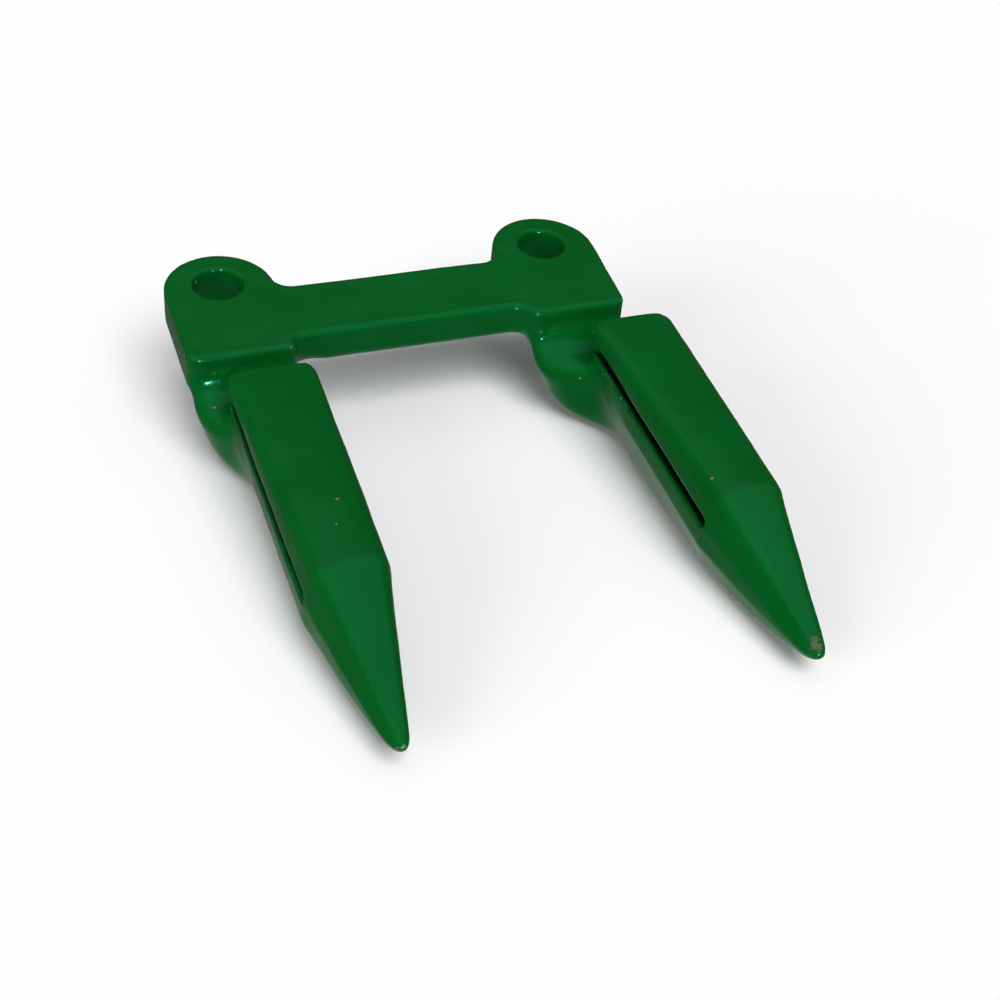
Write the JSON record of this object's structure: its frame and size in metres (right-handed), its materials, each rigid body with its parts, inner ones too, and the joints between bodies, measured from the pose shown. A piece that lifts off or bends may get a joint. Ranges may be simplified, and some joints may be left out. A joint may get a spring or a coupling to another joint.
{
  "type": "mower knife guard",
  "caption": "Forged knife guard for a mower cutter bar: a flat bar between round bolt lugs carries long pointed fingers, each slotted under a crowned lip for the knife.",
  "frame": {"origin": "middle of the two bolt holes, on the top face of the plate", "axes": "+Z along the bolts, up out of the plate's top face; the fingers point to -Y; X runs along the line of holes, with the fingers offset to +X"},
  "size_m": [0.0994, 0.1297, 0.0258],
  "materials": {
    "green_paint": "gloss paint over forged steel, worn bare at a tip"
  },
  "bodies": {
    "root": {"knife_guard": "green_paint"}
  },
  "joints": []
}
